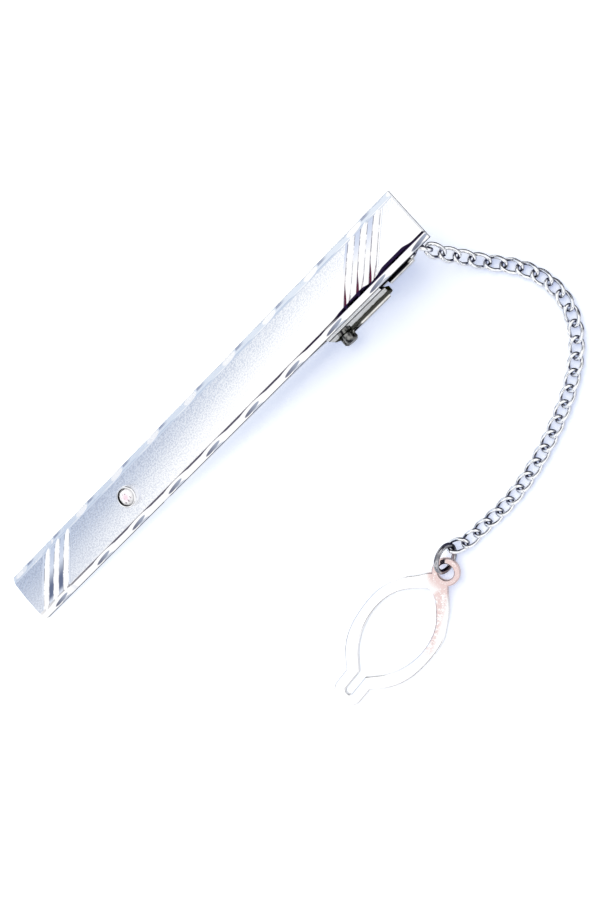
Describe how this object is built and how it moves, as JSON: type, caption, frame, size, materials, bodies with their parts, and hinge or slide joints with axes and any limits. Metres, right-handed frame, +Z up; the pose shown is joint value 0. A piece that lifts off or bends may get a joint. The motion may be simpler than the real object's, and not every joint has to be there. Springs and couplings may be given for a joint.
{
  "type": "tie clip",
  "caption": "Tie clip with a bevelled, facet-cut front bar, a small set stone, a sprung jaw on a hinge pin, and a twisted-link safety chain ending in a flat keyhole button loop.",
  "frame": {"origin": "bottom centre of the whole part as it lies on a table", "axes": "+X along the bar from its far end to its clip end, +Y across the bar away from the chain, +Z up, out of the bar's face"},
  "size_m": [0.063, 0.035, 0.0066],
  "materials": {
    "plated_bar": "satin field, polished bevels and grooves",
    "plated_fittings": "polished",
    "plated_chain": "polished",
    "plated_loop": "polished, rounded rims",
    "spring_steel": "drawn wire",
    "clear_stone": "faceted, clear"
  },
  "bodies": {
    "clip": {"front_bar": "plated_bar", "stone_bezel": "plated_bar", "stone": "clear_stone", "hinge_bracket": "plated_fittings", "hinge_pin": "plated_fittings", "jaw_spring": "spring_steel", "chain_eye": "plated_chain"},
    "jaw": {"jaw_lever": "plated_fittings"},
    "first_ring": {"first_ring": "plated_chain"},
    "link_01": {"chain_link_01": "plated_chain"},
    "link_02": {"chain_link_02": "plated_chain"},
    "link_03": {"chain_link_03": "plated_chain"},
    "link_04": {"chain_link_04": "plated_chain"},
    "link_05": {"chain_link_05": "plated_chain"},
    "link_06": {"chain_link_06": "plated_chain"},
    "link_07": {"chain_link_07": "plated_chain"},
    "link_08": {"chain_link_08": "plated_chain"},
    "link_09": {"chain_link_09": "plated_chain"},
    "link_10": {"chain_link_10": "plated_chain"},
    "link_11": {"chain_link_11": "plated_chain"},
    "link_12": {"chain_link_12": "plated_chain"},
    "link_13": {"chain_link_13": "plated_chain"},
    "link_14": {"chain_link_14": "plated_chain"},
    "link_15": {"chain_link_15": "plated_chain"},
    "link_16": {"chain_link_16": "plated_chain"},
    "link_17": {"chain_link_17": "plated_chain"},
    "link_18": {"chain_link_18": "plated_chain"},
    "link_19": {"chain_link_19": "plated_chain"},
    "link_20": {"chain_link_20": "plated_chain"},
    "link_21": {"chain_link_21": "plated_chain"},
    "link_22": {"chain_link_22": "plated_chain"},
    "link_23": {"chain_link_23": "plated_chain"},
    "link_24": {"chain_link_24": "plated_chain"},
    "link_25": {"chain_link_25": "plated_chain"},
    "link_26": {"chain_link_26": "plated_chain"},
    "link_27": {"chain_link_27": "plated_chain"},
    "link_28": {"chain_link_28": "plated_chain"},
    "jump_ring": {"jump_ring": "plated_chain"},
    "button_loop": {"button_loop": "plated_loop"}
  },
  "joints": [
    {"name": "jaw_hinge", "type": "hinge", "parent": "clip", "child": "jaw", "pos_m": [0.01361, 0.01446, 0.00178], "axis": [0, -1, 0], "range_deg": [0, 16], "stiffness_Nm_per_rad": 0.001, "springref_deg": -28.65, "deforming": ["jaw_spring"]},
    {"name": "first_ring_lift", "type": "hinge", "parent": "clip", "child": "first_ring", "pos_m": [0.02457, 0.01211, 0.00435], "axis": [-0.8339, -0.5519, 0], "range_deg": [0, 25]},
    {"name": "jump_ring_swing", "type": "hinge", "parent": "link_28", "child": "jump_ring", "pos_m": [0.00715, -0.01041, 0.00083], "axis": [0, 0, 1], "range_deg": [-18, 4]},
    {"name": "button_loop_lift", "type": "hinge", "parent": "jump_ring", "child": "button_loop", "pos_m": [0.00624, -0.01088, 0.00147], "axis": [-0.5068, 0.7514, -0.4226], "range_deg": [0, 50]},
    {"name": "link_01_swing", "type": "hinge", "parent": "first_ring", "child": "link_01", "pos_m": [0.02508, 0.01138, 0.00355], "axis": [0, 0, 1], "range_deg": [-25, 3]},
    {"name": "link_02_swing", "type": "hinge", "parent": "link_01", "child": "link_02", "pos_m": [0.02558, 0.01027, 0.00267], "axis": [0, 0, -1], "range_deg": [-35, 20]},
    {"name": "link_03_swing", "type": "hinge", "parent": "link_02", "child": "link_03", "pos_m": [0.02628, 0.00929, 0.00179], "axis": [0, 0, 1], "range_deg": [-10, 35]},
    {"name": "link_04_swing", "type": "hinge", "parent": "link_03", "child": "link_04", "pos_m": [0.02698, 0.00822, 0.001], "axis": [0, 0, -1], "range_deg": [-28, 10]},
    {"name": "link_05_swing", "type": "hinge", "parent": "link_04", "child": "link_05", "pos_m": [0.02781, 0.00705, 0.00056], "axis": [0, 0, 1], "range_deg": [-15, 24]},
    {"name": "link_06_swing", "type": "hinge", "parent": "link_05", "child": "link_06", "pos_m": [0.02877, 0.00589, 0.00046], "axis": [0, 0, -1], "range_deg": [-28, 24]},
    {"name": "link_07_swing", "type": "hinge", "parent": "link_06", "child": "link_07", "pos_m": [0.02965, 0.00468, 0.00046], "axis": [0, 0, 1], "range_deg": [-24, 24]},
    {"name": "link_08_swing", "type": "hinge", "parent": "link_07", "child": "link_08", "pos_m": [0.03032, 0.00334, 0.00046], "axis": [0, 0, -1], "range_deg": [-24, 24]},
    {"name": "link_09_swing", "type": "hinge", "parent": "link_08", "child": "link_09", "pos_m": [0.03071, 0.00189, 0.00046], "axis": [0, 0, 1], "range_deg": [-24, 24]},
    {"name": "link_10_swing", "type": "hinge", "parent": "link_09", "child": "link_10", "pos_m": [0.03078, 0.00039, 0.00046], "axis": [0, 0, -1], "range_deg": [-24, 24]},
    {"name": "link_11_swing", "type": "hinge", "parent": "link_10", "child": "link_11", "pos_m": [0.0305, -0.00108, 0.00046], "axis": [0, 0, 1], "range_deg": [-24, 24]},
    {"name": "link_12_swing", "type": "hinge", "parent": "link_11", "child": "link_12", "pos_m": [0.02991, -0.00246, 0.00046], "axis": [0, 0, -1], "range_deg": [-24, 24]},
    {"name": "link_13_swing", "type": "hinge", "parent": "link_12", "child": "link_13", "pos_m": [0.02906, -0.0037, 0.00046], "axis": [0, 0, 1], "range_deg": [-24, 24]},
    {"name": "link_14_swing", "type": "hinge", "parent": "link_13", "child": "link_14", "pos_m": [0.02803, -0.00478, 0.00046], "axis": [0, 0, -1], "range_deg": [-24, 24]},
    {"name": "link_15_swing", "type": "hinge", "parent": "link_14", "child": "link_15", "pos_m": [0.02687, -0.00574, 0.00046], "axis": [0, 0, 1], "range_deg": [-24, 24]},
    {"name": "link_16_swing", "type": "hinge", "parent": "link_15", "child": "link_16", "pos_m": [0.02564, -0.00659, 0.00046], "axis": [0, 0, -1], "range_deg": [-24, 24]},
    {"name": "link_17_swing", "type": "hinge", "parent": "link_16", "child": "link_17", "pos_m": [0.02434, -0.00735, 0.00046], "axis": [0, 0, 1], "range_deg": [-24, 24]},
    {"name": "link_18_swing", "type": "hinge", "parent": "link_17", "child": "link_18", "pos_m": [0.023, -0.00802, 0.00046], "axis": [0, 0, -1], "range_deg": [-24, 24]},
    {"name": "link_19_swing", "type": "hinge", "parent": "link_18", "child": "link_19", "pos_m": [0.02163, -0.00864, 0.00046], "axis": [0, 0, 1], "range_deg": [-24, 24]},
    {"name": "link_20_swing", "type": "hinge", "parent": "link_19", "child": "link_20", "pos_m": [0.02024, -0.0092, 0.00046], "axis": [0, 0, -1], "range_deg": [-24, 24]},
    {"name": "link_21_swing", "type": "hinge", "parent": "link_20", "child": "link_21", "pos_m": [0.01883, -0.0097, 0.00046], "axis": [0, 0, 1], "range_deg": [-24, 24]},
    {"name": "link_22_swing", "type": "hinge", "parent": "link_21", "child": "link_22", "pos_m": [0.01739, -0.01014, 0.00046], "axis": [0, 0, -1], "range_deg": [-24, 24]},
    {"name": "link_23_swing", "type": "hinge", "parent": "link_22", "child": "link_23", "pos_m": [0.01594, -0.01049, 0.00046], "axis": [0, 0, 1], "range_deg": [-24, 24]},
    {"name": "link_24_swing", "type": "hinge", "parent": "link_23", "child": "link_24", "pos_m": [0.01446, -0.01076, 0.00046], "axis": [0, 0, -1], "range_deg": [-24, 24]},
    {"name": "link_25_swing", "type": "hinge", "parent": "link_24", "child": "link_25", "pos_m": [0.01297, -0.01091, 0.00046], "axis": [0, 0, 1], "range_deg": [-24, 24]},
    {"name": "link_26_swing", "type": "hinge", "parent": "link_25", "child": "link_26", "pos_m": [0.01147, -0.01095, 0.00046], "axis": [0, 0, -1], "range_deg": [-24, 24]},
    {"name": "link_27_swing", "type": "hinge", "parent": "link_26", "child": "link_27", "pos_m": [0.00997, -0.01103, 0.0005], "axis": [0, 0, 1], "range_deg": [-24, 24]},
    {"name": "link_28_swing", "type": "hinge", "parent": "link_27", "child": "link_28", "pos_m": [0.00848, -0.01107, 0.00063], "axis": [0, 0, -1], "range_deg": [-18, 12]}
  ]
}
